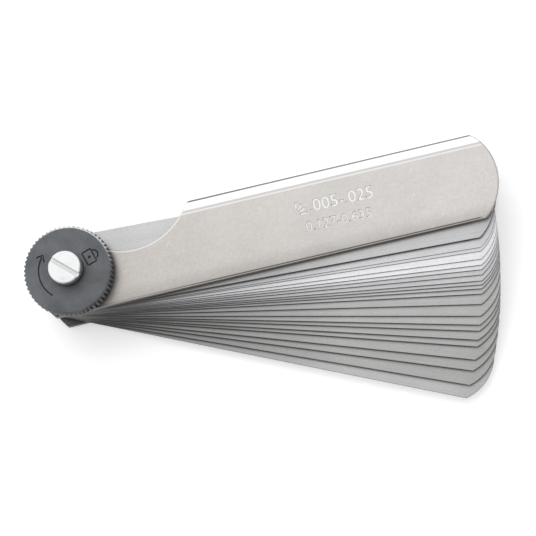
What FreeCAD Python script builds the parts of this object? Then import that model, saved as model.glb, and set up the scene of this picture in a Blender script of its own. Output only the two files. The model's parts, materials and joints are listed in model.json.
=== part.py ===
import FreeCAD, Part
import math
import os

# Feeler gauge, inch set of 21 leaves, in millimetres.
# The gauge lies on its back: +Z points from the rear ear to the knurled lock nut,
# +X runs along the case to its closed end, +Y points to the folded spine of the case.
# The origin is on the pivot axis, in the rear face of the case.

INCH = 25.4

# Leaves, listed from the front of the pack to the rear.
# The thickest leaf lies in front, where it covers and protects the thin ones.
LEAF_THOUSANDTHS = [25] + list(range(5, 25))
LEAF_WIDTH = 12.7
LEAF_TIP = 70.4
LEAF_HEEL = 6.35
LEAF_BULGE = 3.2
LEAF_BORE = 5.08
LEAF_GAP = 0.02

# Each leaf is turned a little further out of the case than the leaf in front of it.
FAN_STEPS = [
    2.6, 1.3, 0.5, 1.1, 0.8, 0.6, 0.7, 0.8, 0.5, 0.5, 0.7,
    1.4, 1.6, 1.2, 0.8, 1.2, 0.9, 1.8, 1.5, 2.0, 1.8,
]

# Case: one sheet of steel folded into a channel around the leaf pack.
SHEET = 1.2
CASE_LOW = 6.7
CASE_TOP = 7.8
CASE_CORNER = 68.7
CASE_TIP = 72.1
REAR_SHORTER = 1.3
BEND_OUTER = 2.1
BEND_INNER = 0.4
EAR_RADIUS = 6.6
EAR_HEEL = 3.95
NOTCH_RADIUS = 11.2
NOTCH_X = 11.1
NOTCH_Y = 12.7

PACK_HEIGHT = sum(LEAF_THOUSANDTHS) / 1000 * INCH + LEAF_GAP * (len(LEAF_THOUSANDTHS) + 1)
CASE_HEIGHT = 2 * SHEET + PACK_HEIGHT

# Pivot post: flat countersunk head in the rear ear, plain shank, threaded front end.
POST_SHANK = 5.0
POST_HEAD = 6.6
POST_CONE = 0.7
POST_THREAD = 4.2
POST_SHOULDER_BELOW_FACE = 0.3
POST_CHAMFER = 0.2
FIT_CLEARANCE = 0.02

# Lock nut with its thrust washer.
WASHER_THICKNESS = 0.4
WASHER_RADIUS = 6.2
WASHER_BORE = 4.32
NUT_HEIGHT = 2.7
NUT_RADIUS = 7.5
NUT_BORE = 4.3
NUT_BEVEL_WIDTH = 0.5
NUT_BEVEL_HEIGHT = 0.45
NUT_LIP_RADIUS = 7.25
NUT_LIP_HEIGHT = 0.3
NUT_LIP_CHAMFER = 0.2
TEETH = 60
TOOTH_DEPTH = 0.38
WASHER_LIFT = 0.01

# Stop screw that keeps the nut on the post.
SCREW_GAP = 0.85
SCREW_RADIUS = 2.7
SCREW_HEAD = 2.0
SCREW_CHAMFER = 0.15
SCREW_SHANK = 2.4
SCREW_LENGTH = 5.0
SLOT_WIDTH = 0.75
SLOT_DEPTH = 0.5
SLOT_ANGLE = -42.5
TAP_DEPTH = 5.6

# Engraving on the face of the nut.
MARK_DEPTH = 0.18
MARK_WIDTH = 0.28
ARROW_RADIUS = 4.85
ARROW_START = 228.0
ARROW_END = 137.0
ARROW_BARB = 1.15
PADLOCK_RADIUS = 4.95
PADLOCK_ANGLE = 18.0
PADLOCK_WIDTH = 2.3
PADLOCK_BODY = 1.6
PADLOCK_SHACKLE = 0.75
KEYHOLE_RADIUS = 0.26

NUT_BOTTOM = CASE_HEIGHT + WASHER_THICKNESS + 2 * WASHER_LIFT
NUT_TOP = NUT_BOTTOM + NUT_HEIGHT
POST_TOP = NUT_TOP + SCREW_GAP

Z_AXIS = FreeCAD.Vector(0, 0, 1)
ORIGIN = FreeCAD.Vector(0, 0, 0)


def point(x, y, z=0.0):
    return FreeCAD.Vector(x, y, z)


def polar(radius, degrees, z=0.0):
    angle = math.radians(degrees)
    return FreeCAD.Vector(radius * math.cos(angle), radius * math.sin(angle), z)


def arc(start, middle, end):
    return Part.Arc(start, middle, end).toShape()


def line(start, end):
    return Part.makeLine(start, end)


def prism(edges, height):
    """Closed outline in a level plane, raised by height."""
    face = Part.Face(Part.Wire(edges))
    return face.extrude(FreeCAD.Vector(0, 0, height))


def cylinder(radius, bottom, top):
    return Part.makeCylinder(radius, top - bottom, point(0, 0, bottom))


def case_outline(shorter=0.0):
    """Outline of the case, with the thumb notch beside the ears and its tip cut shorter."""
    middle = (CASE_TOP - CASE_LOW) / 2
    notch_reach = math.sqrt(NOTCH_RADIUS ** 2 - (NOTCH_Y - CASE_TOP) ** 2)
    notch_end = point(NOTCH_X + notch_reach, CASE_TOP)
    notch_bottom = point(NOTCH_X, NOTCH_Y - NOTCH_RADIUS)
    distance = math.hypot(NOTCH_X, NOTCH_Y)
    along = (distance ** 2 + EAR_RADIUS ** 2 - NOTCH_RADIUS ** 2) / (2 * distance)
    across = math.sqrt(EAR_RADIUS ** 2 - along ** 2)
    ear_top = point(
        (NOTCH_X * along - NOTCH_Y * across) / distance,
        (NOTCH_Y * along + NOTCH_X * across) / distance,
    )
    heel = point(-EAR_HEEL, -CASE_LOW)
    heel_angle = math.degrees(math.atan2(-CASE_LOW, -EAR_HEEL)) % 360
    low_corner = point(CASE_CORNER - shorter, -CASE_LOW)
    high_corner = point(CASE_CORNER - shorter, CASE_TOP)
    return [
        line(heel, low_corner),
        arc(low_corner, point(CASE_TIP - shorter, middle), high_corner),
        line(high_corner, notch_end),
        arc(notch_end, notch_bottom, ear_top),
        arc(ear_top, polar(EAR_RADIUS, 135), point(-EAR_RADIUS, 0)),
        arc(point(-EAR_RADIUS, 0), polar(EAR_RADIUS + 0.15, (180 + heel_angle) / 2), heel),
    ]


def channel(low, top, bottom, height, radius, start, length):
    """Bar along X with a rectangular section whose two edges on the +Y side are rounded."""
    box = Part.makeBox(length, top - low, height, point(start, low, bottom))
    edges = []
    for edge in box.Edges:
        on_top = all(abs(vertex.Y - top) < 1e-6 for vertex in edge.Vertexes)
        along_x = abs(edge.Vertexes[0].X - edge.Vertexes[-1].X) > 1
        if on_top and along_x:
            edges.append(edge)
    return box.makeFillet(radius, edges)


def make_case():
    """Folded channel with two flat ears and a leaning tip, drilled for the post."""
    low = -2 * CASE_LOW
    inner_height = CASE_HEIGHT - 2 * SHEET
    inner_top = CASE_TOP - SHEET
    outer = channel(low, CASE_TOP, 0, CASE_HEIGHT, BEND_OUTER, NOTCH_X, CASE_TIP)
    cavity = channel(low, inner_top, SHEET, inner_height, BEND_INNER, NOTCH_X, CASE_TIP)
    ear_length = NOTCH_X + 2 * EAR_RADIUS
    ears = Part.makeBox(ear_length, CASE_TOP - low, CASE_HEIGHT, point(-2 * EAR_RADIUS, low))
    between = Part.makeBox(ear_length, CASE_TOP - low, inner_height, point(-2 * EAR_RADIUS, low, SHEET))
    case = outer.cut(cavity).fuse(ears.cut(between)).removeSplitter()
    rear_outline = Part.Wire(case_outline(REAR_SHORTER))
    front_outline = Part.Wire(case_outline())
    front_outline.translate(point(0, 0, CASE_HEIGHT))
    case = case.common(Part.makeLoft([rear_outline, front_outline], True, True))
    shank_hole = cylinder(POST_SHANK / 2 + FIT_CLEARANCE, -1, CASE_HEIGHT + 1)
    head_cone = Part.makeCone(
        POST_HEAD / 2 + FIT_CLEARANCE,
        POST_SHANK / 2 + FIT_CLEARANCE,
        POST_CONE,
    )
    return case.cut(shank_hole.fuse(head_cone))


def make_leaf(bottom, thickness, turn):
    """One flat leaf with both ends bowed outwards, turned clockwise about the post."""
    half = LEAF_WIDTH / 2
    front = LEAF_TIP - LEAF_BULGE
    back = -LEAF_HEEL + LEAF_BULGE
    edges = [
        line(point(back, -half), point(front, -half)),
        arc(point(front, -half), point(LEAF_TIP, 0), point(front, half)),
        line(point(front, half), point(back, half)),
        arc(point(back, half), point(-LEAF_HEEL, 0), point(back, -half)),
    ]
    leaf = prism(edges, thickness)
    leaf = leaf.cut(cylinder(LEAF_BORE / 2, -1, thickness + 1))
    leaf.translate(point(0, 0, bottom))
    leaf.rotate(ORIGIN, Z_AXIS, -turn)
    return leaf


def make_leaves():
    """Every leaf with its node name, from the front of the pack to the rear."""
    leaves = {}
    turn = 0.0
    top = CASE_HEIGHT - SHEET - LEAF_GAP
    for thousandths, step in zip(LEAF_THOUSANDTHS, FAN_STEPS):
        thickness = thousandths / 1000 * INCH
        turn += step
        leaves[f"leaf_{thousandths:03d}"] = make_leaf(top - thickness, thickness, turn)
        top -= thickness + LEAF_GAP
    return leaves


def make_post():
    """Pivot post from its flush rear head to its tapped front end."""
    shoulder = CASE_HEIGHT - POST_SHOULDER_BELOW_FACE
    head = Part.makeCone(POST_HEAD / 2, POST_SHANK / 2, POST_CONE)
    shank = cylinder(POST_SHANK / 2, 0, shoulder)
    thread = cylinder(POST_THREAD / 2, shoulder, POST_TOP - POST_CHAMFER)
    end = Part.makeCone(
        POST_THREAD / 2,
        POST_THREAD / 2 - POST_CHAMFER,
        POST_CHAMFER,
        point(0, 0, POST_TOP - POST_CHAMFER),
    )
    post = head.fuse([shank, thread, end]).removeSplitter()
    tapped = cylinder(SCREW_SHANK / 2 + FIT_CLEARANCE, POST_TOP - TAP_DEPTH, POST_TOP + 1)
    return post.cut(tapped)


def make_washer():
    """Flat thrust washer between the case and the nut."""
    bottom = CASE_HEIGHT + WASHER_LIFT
    top = bottom + WASHER_THICKNESS
    return cylinder(WASHER_RADIUS, bottom, top).cut(cylinder(WASHER_BORE / 2, bottom - 1, top + 1))


def knurl_outline():
    """Ring of pointed teeth, as one closed polygon."""
    corners = []
    half_pitch = 180 / TEETH
    for index in range(TEETH):
        angle = index * 2 * half_pitch
        corners.append(polar(NUT_RADIUS, angle))
        corners.append(polar(NUT_RADIUS - TOOTH_DEPTH, angle + half_pitch))
    corners.append(corners[0])
    return Part.makePolygon(corners).Edges


def nut_envelope():
    """Turned blank of the nut: smooth lip below, bevelled edge at the front."""
    profile = [
        point(0, 0, NUT_BOTTOM),
        point(NUT_LIP_RADIUS - NUT_LIP_CHAMFER, 0, NUT_BOTTOM),
        point(NUT_LIP_RADIUS, 0, NUT_BOTTOM + NUT_LIP_CHAMFER),
        point(NUT_LIP_RADIUS, 0, NUT_BOTTOM + NUT_LIP_HEIGHT),
        point(NUT_RADIUS, 0, NUT_BOTTOM + NUT_LIP_HEIGHT + NUT_RADIUS - NUT_LIP_RADIUS),
        point(NUT_RADIUS, 0, NUT_TOP - NUT_BEVEL_HEIGHT),
        point(NUT_RADIUS - NUT_BEVEL_WIDTH, 0, NUT_TOP),
        point(0, 0, NUT_TOP),
        point(0, 0, NUT_BOTTOM),
    ]
    face = Part.Face(Part.makePolygon(profile))
    return face.revolve(ORIGIN, Z_AXIS, 360)


def stroke(start, end):
    """Straight engraved line in the nut's face."""
    direction = end.sub(start)
    groove = Part.makeBox(direction.Length, MARK_WIDTH, 2 * MARK_DEPTH)
    groove.translate(point(0, -MARK_WIDTH / 2, NUT_TOP - MARK_DEPTH))
    groove.rotate(ORIGIN, Z_AXIS, math.degrees(math.atan2(direction.y, direction.x)))
    groove.translate(point(start.x, start.y))
    return groove


def curved_stroke(centre, radius, start, end):
    """Engraved arc between two angles, counterclockwise."""
    inner = radius - MARK_WIDTH / 2
    outer = radius + MARK_WIDTH / 2
    middle = (start + end) / 2
    edges = [
        arc(polar(outer, start), polar(outer, middle), polar(outer, end)),
        line(polar(outer, end), polar(inner, end)),
        arc(polar(inner, end), polar(inner, middle), polar(inner, start)),
        line(polar(inner, start), polar(outer, start)),
    ]
    groove = prism(edges, 2 * MARK_DEPTH)
    groove.translate(point(centre.x, centre.y, NUT_TOP - MARK_DEPTH))
    return groove


def arrow_marks():
    """Curved arrow that shows the tightening direction."""
    tip = polar(ARROW_RADIUS, ARROW_END)
    barb_out = tip.add(polar(ARROW_BARB, ARROW_END - 90 + 140))
    barb_in = tip.add(polar(ARROW_BARB, ARROW_END - 90 - 140))
    shaft = curved_stroke(ORIGIN, ARROW_RADIUS, ARROW_END, ARROW_START)
    return [shaft, stroke(tip, barb_out), stroke(tip, barb_in)]


def padlock_marks():
    """Closed padlock with a keyhole, its shackle towards the rim of the nut."""
    half = PADLOCK_WIDTH / 2
    corners = [point(-half, 0), point(half, 0), point(half, -PADLOCK_BODY), point(-half, -PADLOCK_BODY)]
    marks = [stroke(corners[index - 1], corners[index]) for index in range(4)]
    marks.append(curved_stroke(ORIGIN, PADLOCK_SHACKLE, 0, 180))
    keyhole = cylinder(KEYHOLE_RADIUS, NUT_TOP - MARK_DEPTH, NUT_TOP + MARK_DEPTH)
    keyhole.translate(point(0, -PADLOCK_BODY / 2))
    marks.append(keyhole)
    place = polar(PADLOCK_RADIUS, PADLOCK_ANGLE)
    for mark in marks:
        mark.rotate(ORIGIN, Z_AXIS, PADLOCK_ANGLE - 90)
        mark.translate(place)
    return marks


def make_lock_nut():
    """Knurled nut with threaded bore and engraved face."""
    teeth = prism(knurl_outline(), NUT_HEIGHT)
    teeth.translate(point(0, 0, NUT_BOTTOM))
    lip = cylinder(NUT_LIP_RADIUS, NUT_BOTTOM, NUT_BOTTOM + NUT_LIP_HEIGHT)
    nut = nut_envelope().common(teeth.fuse(lip))
    nut = nut.cut(cylinder(NUT_BORE / 2, NUT_BOTTOM - 1, NUT_TOP + 1))
    for mark in arrow_marks() + padlock_marks():
        nut = nut.cut(mark)
    return nut


def make_stop_screw():
    """Slotted flat-headed screw in the end of the post."""
    bottom = POST_TOP
    top = bottom + SCREW_HEAD
    head = cylinder(SCREW_RADIUS, bottom, top - SCREW_CHAMFER)
    crown = Part.makeCone(
        SCREW_RADIUS,
        SCREW_RADIUS - SCREW_CHAMFER,
        SCREW_CHAMFER,
        point(0, 0, top - SCREW_CHAMFER),
    )
    shank = cylinder(SCREW_SHANK / 2, bottom - SCREW_LENGTH, bottom)
    screw = head.fuse([crown, shank]).removeSplitter()
    slot = Part.makeBox(4 * SCREW_RADIUS, SLOT_WIDTH, 2 * SLOT_DEPTH)
    slot.translate(point(-2 * SCREW_RADIUS, -SLOT_WIDTH / 2, top - SLOT_DEPTH))
    slot.rotate(ORIGIN, Z_AXIS, SLOT_ANGLE)
    return screw.cut(slot)


def make_gauge():
    """Every piece of the gauge under its node name."""
    pieces = {
        "case": make_case(),
        "pivot_post": make_post(),
        "thrust_washer": make_washer(),
        "lock_nut": make_lock_nut(),
        "stop_screw": make_stop_screw(),
    }
    pieces.update(make_leaves())
    return pieces


os.makedirs("parts", exist_ok=True)
for name, shape in make_gauge().items():
    shape.exportStep(f"parts/{name}.step")
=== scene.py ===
import json
import math

import bmesh
import bpy
from mathutils import Matrix, Vector


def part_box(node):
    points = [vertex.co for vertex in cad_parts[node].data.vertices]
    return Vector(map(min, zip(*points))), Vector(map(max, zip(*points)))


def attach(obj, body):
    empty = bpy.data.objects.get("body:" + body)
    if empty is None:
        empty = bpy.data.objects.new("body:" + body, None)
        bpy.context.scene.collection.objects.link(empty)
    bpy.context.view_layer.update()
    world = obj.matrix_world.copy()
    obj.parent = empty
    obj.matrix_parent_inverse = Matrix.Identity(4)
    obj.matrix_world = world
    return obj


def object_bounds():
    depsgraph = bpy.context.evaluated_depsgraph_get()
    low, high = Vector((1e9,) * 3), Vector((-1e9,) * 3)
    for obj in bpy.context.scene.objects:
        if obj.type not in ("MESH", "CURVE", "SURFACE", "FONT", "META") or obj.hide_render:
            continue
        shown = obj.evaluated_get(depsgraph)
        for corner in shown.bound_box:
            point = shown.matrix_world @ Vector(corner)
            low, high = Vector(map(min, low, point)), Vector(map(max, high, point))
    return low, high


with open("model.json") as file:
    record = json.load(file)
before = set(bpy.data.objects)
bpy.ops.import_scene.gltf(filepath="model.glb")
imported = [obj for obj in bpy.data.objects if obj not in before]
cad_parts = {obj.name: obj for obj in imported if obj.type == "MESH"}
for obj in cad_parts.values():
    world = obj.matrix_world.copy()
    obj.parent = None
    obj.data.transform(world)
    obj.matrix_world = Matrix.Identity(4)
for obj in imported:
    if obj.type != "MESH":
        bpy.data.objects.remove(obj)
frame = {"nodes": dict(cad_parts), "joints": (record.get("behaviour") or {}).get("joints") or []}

# Looks of the feeler gauge. All sizes are in metres, in the frame of the CAD model:
# +Z points from the rear face to the lock nut, +X along the case, +Y to its spine.

MM = 0.001
NODES = frame["nodes"]
JOINTS = {joint["child"]: joint for joint in frame["joints"]}
LEAF_NAMES = [name for name in NODES if name.startswith("leaf_")]
LEAVES = sorted(LEAF_NAMES, key=lambda name: -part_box(name)[1].z)
CASE_LOW, CASE_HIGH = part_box("case")
CAD_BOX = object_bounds()

# Shape of the case and the nut, where painted highlights and shade follow it: the bend into the
# spine, the arc that ends the case, how much farther the front plate reaches than the rear one, the
# notch beside the nut, and the upward part of the normal on the nut's bevel.
BEND_START = CASE_HIGH.y - 2.1 * MM
TIP_ARC = 9.43 * MM
TIP_LEAN = 1.3 * MM
NOTCH_CENTER = (11.1 * MM, 12.7 * MM)
NOTCH_RADIUS = 11.2 * MM
NUT_BEVEL_FACING = 0.743

# Edge rounding of each kind of piece: width, segments, smallest rounded angle in degrees. A leaf's
# width is a share of its thickness, up to a largest one.
CASE_EDGE = (0.20 * MM, 3, 40.0)
NUT_EDGE = (0.05 * MM, 2, 25.0)
SCREW_EDGE = (0.07 * MM, 2, 40.0)
TURNED_EDGE = (0.05 * MM, 2, 40.0)
LEAF_EDGE_SHARE = 0.16
LEAF_EDGE_MAX = 0.05 * MM
LEAF_EDGE_ANGLE = 60.0
WELD_DISTANCE = 0.00002 * MM

# Marks stamped in the front plate. Each line of text: what it says, size, bolder strokes, left end
# before the tip, height above the lower edge. The icon: its corner, its size, how many bars, degrees
# between them, and each bar's place and sides in shares of the size.
STAMP_DEPTH = 0.11 * MM
STAMP_LINES = [
    (".005-.025", 2.9 * MM, 0.03 * MM, 31.4 * MM, 8.5 * MM),
    ("0.127-0.635", 2.35 * MM, 0.018 * MM, 32.6 * MM, 5.2 * MM),
]
FAN_BEFORE_TIP = 34.0 * MM
FAN_ABOVE_EDGE = 7.6 * MM
FAN_SIZE = 2.1 * MM
FAN_BARS = 4
FAN_STEP = 24.0
FAN_BAR_REACH = 0.74
FAN_BAR_LENGTH = 0.58
FAN_BAR_WIDTH = 0.145

# Thickness numbers etched near the tip of each leaf.
NUMBER_SIZE = 3.2 * MM
NUMBER_FROM_TIP = 15.0 * MM
NUMBER_HEIGHT = 0.006 * MM
NUMBER_SINK = 0.002 * MM

# How bright each leaf looks, from the front of the pack to the rear: partly its own polish, partly a
# painted reflection for how each slightly tilted leaf catches the light.
LEAF_TONES = [
    0.48, 0.56, 0.60, 0.73, 0.73, 0.66, 0.53, 0.53, 0.51, 0.49, 0.47,
    0.43, 0.43, 0.42, 0.41, 0.41, 0.40, 0.40, 0.39, 0.40, 0.46,
]

# Finish of the case: plating, scratches, painted highlights on the bend and the notch's rim, painted
# dark lines at the spine, the tip and the lower edge, the sheared sides, and where its lines run.
PLATE_AT_PIVOT = (0.520, 0.488, 0.450, 1.0)
PLATE_AT_TIP = (0.530, 0.506, 0.486, 1.0)
SCRATCHED = (0.80, 0.79, 0.77, 1.0)
BEND_HIGHLIGHT = (0.90, 0.90, 0.895, 1.0)
CREST_HIGHLIGHT = (0.70, 0.69, 0.67, 1.0)
BEND_GREY_LINE = (0.50, 0.49, 0.48, 1.0)
SPINE_SHADE_LINE = (1.0, 0.95, 0.93, 1.0)
TIP_EDGE_SHADE = (0.13, 0.115, 0.105, 1.0)
NOTCH_RIM_HIGHLIGHT = (0.72, 0.70, 0.67, 1.0)
SHEARED_CASE = (0.37, 0.32, 0.28, 1.0)
EDGE_SHADE_LINE = (0.07, 0.06, 0.05, 1.0)
CREST_BEFORE_BEND = 0.31 * MM
BEND_GREY_LINE_BEFORE_BEND = 0.01 * MM
EDGE_SHADE_ABOVE_EDGE = 0.22 * MM
CASE_BUMP = 0.0016 * MM

# Finish of the leaves, with the tint of their sheared sides, darkened partly as painted shade, and
# where along a leaf its tip starts and fully shows.
WARM_STEEL = (1.0, 0.995, 0.975, 1.0)
COOL_STEEL = (0.995, 0.99, 1.01, 1.0)
SHEARED_SHADED_LEAF = (1.0, 0.96, 0.93, 1.0)
LEAF_TIP_START = 65.5 * MM
LEAF_TIP_FULL = 68.0 * MM
LEAF_BUMP = 0.0010 * MM

# Finish of the nut, with the painted highlight on its bevel and the direction it faces most.
DARK_OXIDE = (0.084, 0.089, 0.093, 1.0)
PALE_OXIDE = (0.150, 0.157, 0.165, 1.0)
WORN_OXIDE = (0.30, 0.305, 0.31, 1.0)
BEVEL_HIGHLIGHT = (0.66, 0.67, 0.69, 1.0)
HIGHLIGHT_TOWARDS = (0.44, 0.90, 0.0)
NUT_BUMP = 0.004 * MM

# Finish of the stamped marks, with their painted highlight and the side on which a wall casts their
# painted shade, of the etched numbers and of the floor.
STAMP_HIGHLIGHT = (0.86, 0.85, 0.83, 1.0)
PRESSED_SHADED_FROM = (0.0, 0.75, 0.66)
PRESSED_BUMP = 0.001 * MM
INK = (0.05, 0.05, 0.05, 1.0)
INK_BUMP = 0.0005 * MM
PAPER = (0.93, 0.93, 0.93, 1.0)
PAPER_GLOW = 0.325
PAPER_BUMP = 0.001 * MM

# Turned pieces: name of the finish, brightness, roughness, bump.
SCREW_FINISH = ("bright_screw", 0.69, 0.32, 0.0006 * MM)
POST_FINISH = ("turned_post", 0.60, 0.32, 0.0010 * MM)
WASHER_FINISH = ("turned_washer", 0.58, 0.30, 0.0010 * MM)

# Stage: floor, surroundings and the one soft panel.
FLOOR_SIZE = 1.6
FLOOR_BELOW = 0.02 * MM
SKY_COLOR = (0.985, 0.99, 1.0, 1.0)
SKY_BRIGHT_SIDE = (-0.35, 0.85, 0.2)
SKY_DARKEST = 0.40
SKY_BRIGHTEST = 1.22
PANEL_PLACE = Vector((0.02, 0.40, 0.60))
PANEL_SIZE = (0.6, 0.45)
PANEL_POWER = 1.1

# Camera: where it aims from the middle of the gauge's box, and from which side.
AIM_OFFSET = Vector((-0.846, 7.368, -3.406)) * MM
CAMERA_DISTANCE = 523.2 * MM
CAMERA_AZIMUTH = math.radians(27.14)
CAMERA_ELEVATION = math.radians(77.01)
CAMERA_ROLL = math.radians(-39.64)
CLIP_START = 0.01
LENS_PER_SENSOR = 5.904
SENSOR = 36.0

# Sockets of the colour Mix node.
MIX_FACTOR, MIX_FIRST, MIX_SECOND, MIX_RESULT = 0, 6, 7, 2


# ---- shader building blocks ----

def add(tree, kind, inputs=None, **settings):
    """New shader node; inputs are values or sockets of other nodes."""
    node = tree.nodes.new(kind)
    for name, value in settings.items():
        setattr(node, name, value)
    for name, value in (inputs or {}).items():
        if isinstance(value, bpy.types.NodeSocket):
            tree.links.new(value, node.inputs[name])
        else:
            node.inputs[name].default_value = value
    return node


def math_node(tree, operation, first, second=0.0):
    return add(tree, "ShaderNodeMath", {0: first, 1: second}, operation=operation).outputs[0]


def product(tree, *factors):
    """All factors multiplied together."""
    result = factors[0]
    for factor in factors[1:]:
        result = math_node(tree, "MULTIPLY", result, factor)
    return result


def map_range(tree, value, low, high, to_low, to_high):
    """Value taken from low..high to to_low..to_high, and held at the ends."""
    inputs = {
        "Value": value, "From Min": low, "From Max": high, "To Min": to_low, "To Max": to_high,
    }
    return add(tree, "ShaderNodeMapRange", inputs).outputs["Result"]


def vary(tree, texture, to_low, to_high):
    """A noise, which mostly lies between 0.3 and 0.7, turned into a factor."""
    return map_range(tree, texture, 0.3, 0.7, to_low, to_high)


def band(tree, value, middle, solid, faded):
    """1 within solid of the middle value, 0 beyond faded."""
    off = math_node(tree, "ABSOLUTE", math_node(tree, "SUBTRACT", value, middle))
    return map_range(tree, off, solid, faded, 1.0, 0.0)


def flat_length(tree, x, y):
    """Length of the vector (x, y)."""
    flat = add(tree, "ShaderNodeCombineXYZ", {"X": x, "Y": y}).outputs[0]
    return add(tree, "ShaderNodeVectorMath", {0: flat}, operation="LENGTH").outputs["Value"]


def dot_product(tree, first, second):
    inputs = {0: first, 1: second}
    return add(tree, "ShaderNodeVectorMath", inputs, operation="DOT_PRODUCT").outputs["Value"]


def parts_of(tree, vector):
    """The X, Y and Z sockets of a vector."""
    return add(tree, "ShaderNodeSeparateXYZ", {0: vector}).outputs


def mix_color(tree, factor, first, second):
    inputs = {MIX_FACTOR: factor, MIX_FIRST: first, MIX_SECOND: second}
    return add(tree, "ShaderNodeMix", inputs, data_type="RGBA").outputs[MIX_RESULT]


def gray(value):
    return (value, value, value, 1.0)


def scale_color(tree, color, factor):
    """Colour times a grey factor."""
    parts = {"Red": factor, "Green": factor, "Blue": factor}
    grey = add(tree, "ShaderNodeCombineColor", parts).outputs[0]
    inputs = {MIX_FACTOR: 1.0, MIX_FIRST: color, MIX_SECOND: grey}
    node = add(tree, "ShaderNodeMix", inputs, data_type="RGBA", blend_type="MULTIPLY")
    return node.outputs[MIX_RESULT]


def rotated(tree, space, angle):
    """Space turned about Z."""
    inputs = {"Vector": space, "Angle": angle}
    return add(tree, "ShaderNodeVectorRotate", inputs, rotation_type="Z_AXIS").outputs["Vector"]


def object_space(tree, turn=None):
    """Object coordinates, turned so that X runs along the piece."""
    space = add(tree, "ShaderNodeTexCoord").outputs["Object"]
    return space if turn is None else rotated(tree, space, turn)


def stretched(tree, space, along, across):
    """Space scaled so that a noise becomes streaks along X."""
    inputs = {"Vector": space, "Scale": (along, across, across)}
    return add(tree, "ShaderNodeMapping", inputs).outputs["Vector"]


def noise(tree, space, scale, detail=3.0, roughness=0.55):
    inputs = {"Vector": space, "Scale": scale, "Detail": detail, "Roughness": roughness}
    return add(tree, "ShaderNodeTexNoise", inputs).outputs["Fac"]


def attribute(tree, name):
    """A number stored on the object itself."""
    node = add(tree, "ShaderNodeAttribute", attribute_type="OBJECT", attribute_name=name)
    return node.outputs["Fac"]


def surface_normal(tree):
    return add(tree, "ShaderNodeNewGeometry").outputs["Normal"]


def edge_wear(tree, radius):
    """1 on rounded edges, 0 on open faces."""
    bevel = add(tree, "ShaderNodeBevel", {"Radius": radius}, samples=6)
    same = dot_product(tree, bevel.outputs[0], surface_normal(tree))
    return map_range(tree, same, 0.995, 0.85, 0.0, 1.0)


def occlusion(tree, distance, low, high, local=False):
    """Painted shade in corners and recesses: low in the deepest places, 1 on open faces."""
    inputs = {"Distance": distance}
    node = add(tree, "ShaderNodeAmbientOcclusion", inputs, samples=8, only_local=local)
    return map_range(tree, node.outputs["AO"], 0.45, high, low, 1.0)


def new_material(name):
    material = bpy.data.materials.new(name)
    material.use_nodes = True
    material.node_tree.nodes.clear()
    return material, material.node_tree


def finish(material, tree, color, roughness, height, depth, **extra):
    """Closes a material with a Principled shader and a bump of the given depth in metres."""
    bump = add(tree, "ShaderNodeBump", {"Height": height, "Distance": depth, "Strength": 1.0})
    inputs = {"Base Color": color, "Roughness": roughness, "Normal": bump.outputs[0]}
    inputs.update(extra)
    shader = add(tree, "ShaderNodeBsdfPrincipled", inputs)
    output = add(tree, "ShaderNodeOutputMaterial")
    tree.links.new(shader.outputs[0], output.inputs[0])
    return material


# ---- material of the case ----

def plate_color(tree, space, place, facing, clouds, mottle):
    """Warm grey plating with lengthwise grain, a few cross scratches and painted shade, and the
    grain itself.
    """
    grain = noise(tree, stretched(tree, space, 250.0, 5200.0), 1.0, 3.0, 0.6)
    across = stretched(tree, rotated(tree, space, -0.9), 420.0, 3800.0)
    scratch = map_range(tree, noise(tree, across, 1.0, 1.0), 0.70, 0.76, 0.0, 0.35)
    # Painted shade: the tone is darkened in corners and near the nut by the two occlusion factors,
    # and to 0.40 on the rear plate's inner face, where outside is 0. It also grows lighter towards
    # the tip and darker towards the lower edge.
    outside = math_node(
        tree, "MAXIMUM",
        map_range(tree, facing["Z"], 0.4, 0.6, 1.0, 0.0),
        map_range(tree, place["Z"], 2.0 * MM, 3.0 * MM, 0.0, 1.0),
    )
    tone = product(
        tree,
        vary(tree, clouds, 0.955, 1.035),
        vary(tree, mottle, 0.93, 1.07),
        vary(tree, grain, 0.97, 1.02),
        map_range(tree, place["X"], 10.0 * MM, 70.0 * MM, 0.97, 1.06),
        map_range(tree, place["Y"], CASE_LOW.y + 0.3 * MM, CASE_LOW.y + 2.6 * MM, 0.76, 1.0),
        occlusion(tree, 0.5 * MM, 0.45, 0.9, True),
        occlusion(tree, 1.3 * MM, 0.40, 0.85),
        map_range(tree, outside, 0.0, 1.0, 0.40, 1.0),
    )
    along = map_range(tree, place["X"], 0.0, 45.0 * MM, 0.0, 1.0)
    face = scale_color(tree, mix_color(tree, along, PLATE_AT_PIVOT, PLATE_AT_TIP), tone)
    return mix_color(tree, scratch, face, SCRATCHED), grain


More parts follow.
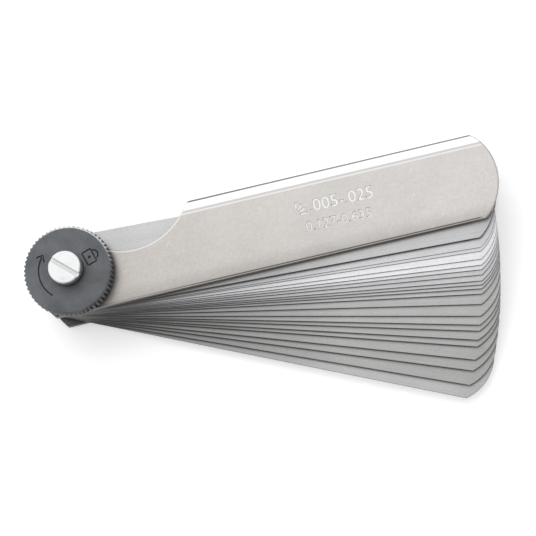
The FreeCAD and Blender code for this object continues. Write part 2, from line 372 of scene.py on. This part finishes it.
def bend_color(tree, color, place, facing, toward_viewer):
    """Adds painted highlights on and before the bend, a grey line between them, and a painted dark
    spine line.

    The dark line is seen only where the bend turns away from the viewer.
    """
    outward = map_range(tree, facing["Y"], -0.3, -0.05, 0.0, 1.0)
    not_spine = map_range(tree, facing["Y"], 0.982, 0.996, 1.0, 0.0)
    folded = map_range(tree, place["Y"], BEND_START + 0.14 * MM, BEND_START + 0.28 * MM, 0.0, 1.0)
    turned = map_range(tree, facing["Y"], 0.10, 0.25, 0.0, 1.0)
    # Painted highlights: one over the bend, one as a line just before it, with a grey line between
    # them.
    bend = product(tree, math_node(tree, "MAXIMUM", folded, turned), outward, not_spine)
    crest = band(tree, place["Y"], BEND_START - CREST_BEFORE_BEND, 0.05 * MM, 0.24 * MM)
    crest = product(tree, crest, outward)
    bend_grey_line = band(tree, place["Y"], BEND_START - BEND_GREY_LINE_BEFORE_BEND, 0.08 * MM, 0.22 * MM)
    bend_grey_line = product(tree, bend_grey_line, outward)
    color = mix_color(tree, crest, color, CREST_HIGHLIGHT)
    color = mix_color(tree, bend, color, BEND_HIGHLIGHT)
    color = mix_color(tree, bend_grey_line, color, BEND_GREY_LINE)
    # Painted shade: a dark line near the spine where the bend turns away from the viewer, darkest
    # towards the pivot.
    dark = map_range(tree, place["X"], 20.0 * MM, 42.0 * MM, 0.05, 0.13)
    line = product(
        tree,
        map_range(tree, facing["Y"], 0.60, 0.70, 0.0, 1.0),
        not_spine,
        map_range(tree, toward_viewer, 0.44, 0.52, 1.0, 0.0),
    )
    color = mix_color(tree, line, color, scale_color(tree, SPINE_SHADE_LINE, dark))
    return color, product(tree, bend, math_node(tree, "SUBTRACT", 1.0, bend_grey_line))


def tip_edge_shade(tree, place, facing, clouds):
    """Painted dark line along the arc of the tip, for the shade on its rounded edge, stronger in
    some places.
    """
    lean = map_range(tree, place["Z"], CASE_LOW.z, CASE_HIGH.z, -TIP_LEAN, 0.0)
    across = math_node(tree, "SUBTRACT", place["Y"], (CASE_LOW.y + CASE_HIGH.y) / 2)
    along = math_node(tree, "SUBTRACT", place["X"], CASE_HIGH.x - TIP_ARC)
    along = math_node(tree, "SUBTRACT", along, lean)
    reach = flat_length(tree, along, across)
    return product(
        tree,
        map_range(tree, reach, TIP_ARC - 0.26 * MM, TIP_ARC - 0.12 * MM, 0.0, 0.75),
        map_range(tree, place["X"], CASE_HIGH.x - 5.5 * MM, CASE_HIGH.x - 4.5 * MM, 0.0, 1.0),
        map_range(tree, math_node(tree, "ABSOLUTE", facing["X"]), 0.8, 0.97, 1.0, 0.0),
        map_range(tree, clouds, 0.35, 0.6, 0.4, 1.0),
    )


def notch_rim_highlight(tree, place, facing):
    """Painted highlight: a bright rim along the arc of the notch beside the nut."""
    along = math_node(tree, "SUBTRACT", place["X"], NOTCH_CENTER[0])
    across = math_node(tree, "SUBTRACT", place["Y"], NOTCH_CENTER[1])
    reach = flat_length(tree, along, across)
    return product(
        tree,
        map_range(tree, reach, NOTCH_RADIUS + 0.16 * MM, NOTCH_RADIUS + 0.34 * MM, 0.75, 0.0),
        map_range(tree, facing["Z"], 0.3, 0.6, 0.0, 1.0),
    )


def sheared_color(tree, color, place, facing):
    """Adds the sheared sides of the sheet, and a painted dark line along the lower edge of its
    faces, for the dark reflection of their rounded edge.

    Towards the pivot the sides are darker and the painted dark line is fainter.
    """
    outer = math_node(tree, "MAXIMUM", math_node(tree, "ABSOLUTE", facing["Z"]), facing["Y"])
    side = map_range(tree, outer, 0.35, 0.75, 1.0, 0.0)
    from_pivot = map_range(tree, place["X"], 9.0 * MM, 24.0 * MM, 0.0, 1.0)
    # The sides' tone: painted shade near the nut and on the rear plate, and darker towards the
    # pivot.
    tone = product(
        tree,
        occlusion(tree, 3.0 * MM, 0.30, 0.85),
        map_range(tree, from_pivot, 0.0, 1.0, 0.35, 1.0),
        map_range(tree, place["Z"], 1.5 * MM, 3.0 * MM, 0.6, 1.0),
    )
    color = mix_color(tree, side, color, scale_color(tree, SHEARED_CASE, tone))
    edge_shade_line = product(
        tree,
        band(tree, place["Y"], CASE_LOW.y + EDGE_SHADE_ABOVE_EDGE, 0.07 * MM, 0.15 * MM),
        map_range(tree, side, 0.1, 0.5, 0.9, 0.0),
        map_range(tree, from_pivot, 0.0, 1.0, 0.35, 1.0),
        map_range(tree, place["X"], CASE_HIGH.x - 4.6 * MM, CASE_HIGH.x - 3.8 * MM, 1.0, 0.0),
    )
    return mix_color(tree, edge_shade_line, color, EDGE_SHADE_LINE)


def case_metal():
    """Satin plated sheet: painted highlights on the bend, painted dark lines and shade, sheared
    sides.
    """
    material, tree = new_material("satin_case")
    space = object_space(tree)
    place = parts_of(tree, space)
    geometry = add(tree, "ShaderNodeNewGeometry").outputs
    facing = parts_of(tree, geometry["Normal"])
    toward_viewer = dot_product(tree, geometry["Normal"], geometry["Incoming"])
    clouds = noise(tree, space, 130.0, 4.0, 0.6)
    mottle = noise(tree, space, 2100.0, 3.0, 0.6)
    color, grain = plate_color(tree, space, place, facing, clouds, mottle)
    color, bend_highlight_share = bend_color(tree, color, place, facing, toward_viewer)
    color = mix_color(tree, tip_edge_shade(tree, place, facing, clouds), color, TIP_EDGE_SHADE)
    color = mix_color(tree, notch_rim_highlight(tree, place, facing), color, NOTCH_RIM_HIGHLIGHT)
    color = sheared_color(tree, color, place, facing)
    roughness = vary(tree, mottle, 0.36, 0.46)
    height = math_node(tree, "ADD", mottle, grain)
    metallic = map_range(tree, bend_highlight_share, 0.0, 1.0, 0.7, 0.15)
    return finish(material, tree, color, roughness, height, CASE_BUMP, Metallic=metallic)


# ---- other materials ----

def leaf_metal():
    """Ground spring steel: lengthwise grain, faint stains, dark sheared edges, painted shade near
    the pivot.
    """
    material, tree = new_material("ground_leaf")
    turn = attribute(tree, "turn")
    tone = attribute(tree, "tone")
    own_space = object_space(tree, turn)
    place = parts_of(tree, own_space)
    shift = add(tree, "ShaderNodeCombineXYZ", {"X": tone, "Y": turn}).outputs[0]
    space = add(tree, "ShaderNodeVectorMath", {0: own_space, 1: shift}).outputs[0]
    grain = noise(tree, stretched(tree, space, 30.0, 6500.0), 1.0, 3.0, 0.6)
    bands = noise(tree, stretched(tree, space, 8.0, 420.0), 1.0, 1.0)
    stains = noise(tree, space, 160.0, 4.0, 0.6)
    speckle = noise(tree, space, 2600.0, 3.0, 0.6)

    # Painted shade: the lower part of each face darkens towards the pivot, and each face is dark
    # where the next leaf covers it, less so at the tip. The tip is also a little darker.
    tip = map_range(tree, place["X"], LEAF_TIP_START, LEAF_TIP_FULL, 0.0, 1.0)
    pivot_shade = product(
        tree,
        map_range(tree, place["X"], 12.0 * MM, 45.0 * MM, 0.52, 0.0),
        map_range(tree, place["Y"], -4.8 * MM, -2.8 * MM, 1.0, 0.0),
    )
    covered = product(
        tree,
        math_node(tree, "SUBTRACT", 1.0, occlusion(tree, 0.55 * MM, 0.30, 0.92)),
        map_range(tree, tip, 0.0, 1.0, 1.0, 0.50),
    )
    shade = product(
        tree,
        tone,
        vary(tree, grain, 0.965, 1.03),
        vary(tree, bands, 0.98, 1.02),
        map_range(tree, stains, 0.35, 0.75, 1.02, 0.95),
        math_node(tree, "SUBTRACT", 1.0, pivot_shade),
        math_node(tree, "SUBTRACT", 1.0, covered),
        map_range(tree, tip, 0.0, 1.0, 1.0, 0.94),
        vary(tree, speckle, 0.95, 1.05),
    )
    tint = mix_color(tree, map_range(tree, tone, 0.42, 0.56, 0.0, 1.0), WARM_STEEL, COOL_STEEL)
    face = scale_color(tree, tint, shade)

    # The sheared sides are dark: partly their own colour, partly painted shade for the gaps between
    # the leaves. They are a little lighter where the tip is rounded off.
    true_normal = add(tree, "ShaderNodeNewGeometry").outputs["True Normal"]
    up = math_node(tree, "ABSOLUTE", parts_of(tree, true_normal)["Z"])
    flat = map_range(tree, up, 0.3, 0.85, 0.0, 1.0)
    sheared_and_shaded = scale_color(tree, SHEARED_SHADED_LEAF, map_range(tree, tip, 0.0, 1.0, 0.10, 0.28))
    color = mix_color(tree, flat, sheared_and_shaded, face)
    roughness = vary(tree, grain, 0.24, 0.36)
    roughness = math_node(tree, "ADD", roughness, map_range(tree, flat, 0.0, 1.0, 0.2, 0.0))
    height = math_node(tree, "ADD", grain, bands)
    return finish(material, tree, color, roughness, height, LEAF_BUMP, Metallic=0.75)


def nut_metal():
    """Dark grey oxide, matte, worn a little on its edges, with a painted highlight on the bevel and
    painted shade.
    """
    material, tree = new_material("oxide_nut")
    space = object_space(tree)
    clouds = noise(tree, space, 260.0, 4.0, 0.6)
    grain = noise(tree, space, 5200.0, 3.0, 0.6)
    wear = edge_wear(tree, 0.10 * MM)
    patchy = product(tree, wear, map_range(tree, clouds, 0.35, 0.65, 0.15, 0.9))
    color = mix_color(tree, vary(tree, clouds, 0.0, 1.0), DARK_OXIDE, PALE_OXIDE)
    color = scale_color(tree, color, vary(tree, grain, 0.92, 1.08))
    color = mix_color(tree, patchy, color, WORN_OXIDE)
    # Painted shade in the knurl's gaps and the engraved marks.
    color = scale_color(tree, color, occlusion(tree, 0.35 * MM, 0.10, 0.95, True))

    # Painted highlight on the bevel between the face and the teeth, on the side towards the spine,
    # however the nut turns.
    normal = surface_normal(tree)
    bevel_highlight = product(
        tree,
        band(tree, parts_of(tree, normal)["Z"], NUT_BEVEL_FACING, 0.05, 0.2),
        map_range(tree, clouds, 0.35, 0.6, 0.65, 1.0),
        map_range(tree, dot_product(tree, normal, HIGHLIGHT_TOWARDS), 0.30, 0.60, 0.05, 1.0),
    )
    color = mix_color(tree, bevel_highlight, color, BEVEL_HIGHLIGHT)
    # Painted shadow near other parts, darkest in the ring under the screw head.
    color = scale_color(tree, color, occlusion(tree, 1.1 * MM, 0.15, 0.80))
    roughness = vary(tree, clouds, 0.42, 0.56)
    return finish(material, tree, color, roughness, grain, NUT_BUMP, Metallic=0.75)


def turned_metal(name, shade, rough, depth):
    """Turned steel: fine rings about the pivot axis, and painted shade in recesses such as the
    screw's slot.
    """
    material, tree = new_material(name)
    space = object_space(tree)
    place = parts_of(tree, space)
    radius = flat_length(tree, place["X"], place["Y"])
    ring_space = add(tree, "ShaderNodeCombineXYZ", {"X": radius, "Y": place["Z"]}).outputs[0]
    rings = noise(tree, ring_space, 9000.0, 2.0)
    smear = noise(tree, space, 700.0, 3.0)
    tone = product(
        tree,
        vary(tree, rings, 0.95, 1.04),
        vary(tree, smear, 0.95, 1.04),
        occlusion(tree, 0.7 * MM, 0.70, 0.95, True),
    )
    roughness = vary(tree, smear, rough - 0.05, rough + 0.07)
    return finish(material, tree, scale_color(tree, gray(shade), tone), roughness, rings, depth,
                  Metallic=1.0)


def ink_metal():
    """Etched numbers: dark, matte oxide."""
    material, tree = new_material("etched_number")
    speck = noise(tree, object_space(tree), 3000.0, 3.0)
    color = scale_color(tree, INK, vary(tree, speck, 0.7, 1.5))
    return finish(material, tree, color, vary(tree, speck, 0.5, 0.7), speck, INK_BUMP)


def stamp_metal():
    """Floor of the stamped marks: painted bright as a highlight, with painted shade from the wall
    towards the spine.
    """
    material, tree = new_material("pressed_mark")
    speck = noise(tree, object_space(tree), 2600.0, 3.0)
    inputs = {"Distance": 0.30 * MM, "Normal": PRESSED_SHADED_FROM}
    walls = add(tree, "ShaderNodeAmbientOcclusion", inputs, samples=8, only_local=True)
    tone = product(
        tree,
        vary(tree, speck, 0.92, 1.06),
        map_range(tree, walls.outputs["AO"], 0.45, 0.66, 0.22, 1.0),
    )
    color = scale_color(tree, STAMP_HIGHLIGHT, tone)
    roughness = vary(tree, speck, 0.35, 0.5)
    return finish(material, tree, color, roughness, speck, PRESSED_BUMP, Metallic=0.4)


def floor_paper():
    """Plain white table top."""
    material, tree = new_material("white_floor")
    fibre = noise(tree, object_space(tree), 60.0, 2.0)
    color = scale_color(tree, PAPER, vary(tree, fibre, 0.998, 1.002))
    glow = {"Emission Color": gray(1.0), "Emission Strength": PAPER_GLOW}
    return finish(material, tree, color, 0.9, fibre, PAPER_BUMP, **glow)


# ---- pieces ----

def show(piece):
    bpy.context.scene.collection.objects.link(piece)


def paint(node, material):
    NODES[node].data.materials.clear()
    NODES[node].data.materials.append(material)


def round_edges(node, width, segments, angle):
    """Rounds a CAD node's sharp edges with modifiers; its own mesh stays as packed."""
    piece = NODES[node]
    piece.modifiers.new("weld", "WELD").merge_threshold = WELD_DISTANCE
    bevel = piece.modifiers.new("rounding", "BEVEL")
    bevel.width = width
    bevel.segments = segments
    bevel.limit_method = "ANGLE"
    bevel.angle_limit = math.radians(angle)
    bevel.harden_normals = True


def text_mesh(name, body, size, thickness, bolder=0.0):
    """Solid lettering in the XY plane, centred in height on z = 0."""
    curve = bpy.data.curves.new(name + "_outline", "FONT")
    curve.body = body
    curve.size = size
    curve.extrude = thickness / 2
    curve.offset = bolder
    curve.resolution_u = 4
    curve.align_y = "CENTER"
    holder = bpy.data.objects.new(name + "_outline", curve)
    show(holder)
    bpy.context.view_layer.update()
    graph = bpy.context.evaluated_depsgraph_get()
    mesh = bpy.data.meshes.new_from_object(holder.evaluated_get(graph))
    bpy.data.objects.remove(holder)
    bm = bmesh.new()
    bm.from_mesh(mesh)
    bmesh.ops.remove_doubles(bm, verts=bm.verts, dist=0.0002 * MM)
    bmesh.ops.recalc_face_normals(bm, faces=bm.faces)
    bm.to_mesh(mesh)
    bm.free()
    piece = bpy.data.objects.new(name, mesh)
    show(piece)
    return piece


def fan_mesh():
    """Flat solid bars spread like leaves from one corner."""
    bm = bmesh.new()
    for index in range(FAN_BARS):
        bar = bmesh.ops.create_cube(bm, size=1.0)["verts"]
        scale = (FAN_BAR_LENGTH * FAN_SIZE, FAN_BAR_WIDTH * FAN_SIZE, 2 * STAMP_DEPTH, 1.0)
        shape = Matrix.Rotation(math.radians(FAN_STEP * index), 4, "Z")
        shape = shape @ Matrix.Translation((FAN_BAR_REACH * FAN_SIZE, 0.0, 0.0))
        bmesh.ops.transform(bm, matrix=shape @ Matrix.Diagonal(scale), verts=bar)
    mesh = bpy.data.meshes.new("fan_icon")
    bm.to_mesh(mesh)
    bm.free()
    piece = bpy.data.objects.new("fan_icon", mesh)
    show(piece)
    return piece


def stamp(piece, material, before_tip, above_edge):
    """Sinks a solid mark into the front plate with a modifier; the mark itself stays hidden."""
    place = Vector((CASE_HIGH.x - before_tip, CASE_LOW.y + above_edge, CASE_HIGH.z))
    mesh = piece.data
    mesh.transform(Matrix.Translation(place))
    mesh.polygons.foreach_set("use_smooth", [False] * len(mesh.polygons))
    mesh.materials.clear()
    mesh.materials.append(material)
    piece.hide_render = True
    piece.hide_viewport = True
    cut = NODES["case"].modifiers.new(piece.name, "BOOLEAN")
    cut.operation = "DIFFERENCE"
    cut.solver = "EXACT"
    cut.material_mode = "TRANSFER"
    cut.object = piece


def stamp_plate():
    metal = stamp_metal()
    for index, (body, size, bolder, before_tip, above_edge) in enumerate(STAMP_LINES):
        piece = text_mesh(f"stamp_{index}", body, size, 2 * STAMP_DEPTH, bolder)
        stamp(piece, metal, before_tip, above_edge)
    stamp(fan_mesh(), metal, FAN_BEFORE_TIP, FAN_ABOVE_EDGE)
    NODES["case"].modifiers.new("flat_faces", "WEIGHTED_NORMAL").keep_sharp = True


def leaf_turn(leaf):
    """How far a leaf is turned out of the case at rest, in radians."""
    return math.radians(JOINTS[leaf]["range_deg"][1])


def leaf_number(leaf, material):
    """Thickness in inches etched on the front face of a leaf, near its tip."""
    thousandths = leaf.removeprefix("leaf_")
    piece = text_mesh("number_" + thousandths, "." + thousandths, NUMBER_SIZE,
                      NUMBER_HEIGHT + NUMBER_SINK)
    tip = max(vertex.co.length for vertex in NODES[leaf].data.vertices)
    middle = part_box(leaf)[1].z + (NUMBER_HEIGHT - NUMBER_SINK) / 2
    place = Matrix.Translation((tip - NUMBER_FROM_TIP, 0.0, middle))
    piece.data.transform(Matrix.Rotation(-leaf_turn(leaf), 4, "Z") @ place)
    piece.data.materials.append(material)
    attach(piece, leaf)


def finish_leaves():
    metal = leaf_metal()
    ink = ink_metal()
    for leaf, tone in zip(LEAVES, LEAF_TONES):
        low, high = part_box(leaf)
        width = min(LEAF_EDGE_SHARE * (high.z - low.z), LEAF_EDGE_MAX)
        round_edges(leaf, width, 1, LEAF_EDGE_ANGLE)
        NODES[leaf]["turn"] = leaf_turn(leaf)
        NODES[leaf]["tone"] = tone
        paint(leaf, metal)
        leaf_number(leaf, ink)


def finish_hardware():
    round_edges("case", *CASE_EDGE)
    stamp_plate()
    paint("case", case_metal())
    round_edges("lock_nut", *NUT_EDGE)
    paint("lock_nut", nut_metal())
    round_edges("stop_screw", *SCREW_EDGE)
    paint("stop_screw", turned_metal(*SCREW_FINISH))
    round_edges("pivot_post", *TURNED_EDGE)
    paint("pivot_post", turned_metal(*POST_FINISH))
    round_edges("thrust_washer", *TURNED_EDGE)
    paint("thrust_washer", turned_metal(*WASHER_FINISH))


# ---- stage ----

def make_floor():
    """Square sheet under the gauge, far larger than the view."""
    bm = bmesh.new()
    bmesh.ops.create_grid(bm, x_segments=4, y_segments=4, size=FLOOR_SIZE)
    mesh = bpy.data.meshes.new("floor")
    bm.to_mesh(mesh)
    bm.free()
    mesh.materials.append(floor_paper())
    floor = bpy.data.objects.new("floor", mesh)
    floor.location.z = CAD_BOX[0][2] - FLOOR_BELOW
    show(floor)


def make_world():
    """Soft white surroundings, a little brighter behind the spine."""
    world = bpy.data.worlds.new("studio")
    bpy.context.scene.world = world
    world.use_nodes = True
    tree = world.node_tree
    tree.nodes.clear()
    direction = add(tree, "ShaderNodeTexCoord").outputs["Generated"]
    side = dot_product(tree, direction, SKY_BRIGHT_SIDE)
    strength = map_range(tree, side, -0.9, 0.9, SKY_DARKEST, SKY_BRIGHTEST)
    background = add(tree, "ShaderNodeBackground", {"Color": SKY_COLOR, "Strength": strength})
    output = add(tree, "ShaderNodeOutputWorld")
    tree.links.new(background.outputs[0], output.inputs[0])


def make_panel():
    """The one soft lamp, above the spine."""
    light = bpy.data.lights.new("key_panel", "AREA")
    light.shape = "RECTANGLE"
    light.size, light.size_y = PANEL_SIZE
    light.energy = PANEL_POWER
    lamp = bpy.data.objects.new("key_panel", light)
    lamp.location = PANEL_PLACE
    aim = (CASE_LOW + CASE_HIGH) / 2
    lamp.rotation_euler = (aim - PANEL_PLACE).to_track_quat("-Z", "Y").to_euler()
    show(lamp)


def make_camera():
    """Camera at the photograph's viewing angle."""
    low, high = Vector(CAD_BOX[0]), Vector(CAD_BOX[1])
    aim = (low + high) / 2 + AIM_OFFSET
    away = Vector((
        math.cos(CAMERA_ELEVATION) * math.sin(CAMERA_AZIMUTH),
        -math.cos(CAMERA_ELEVATION) * math.cos(CAMERA_AZIMUTH),
        math.sin(CAMERA_ELEVATION),
    ))
    data = bpy.data.cameras.new("camera")
    data.sensor_width = SENSOR
    data.lens = LENS_PER_SENSOR * SENSOR
    data.clip_start = CLIP_START
    camera = bpy.data.objects.new("camera", data)
    show(camera)
    place = Matrix.Translation(aim + away * CAMERA_DISTANCE)
    facing = (-away).to_track_quat("-Z", "Y").to_matrix().to_4x4()
    camera.matrix_world = place @ facing @ Matrix.Rotation(CAMERA_ROLL, 4, "Z")
    bpy.context.scene.camera = camera


finish_hardware()
finish_leaves()
make_floor()
make_world()
make_panel()
make_camera()
bpy.context.scene.view_settings.view_transform = "Standard"
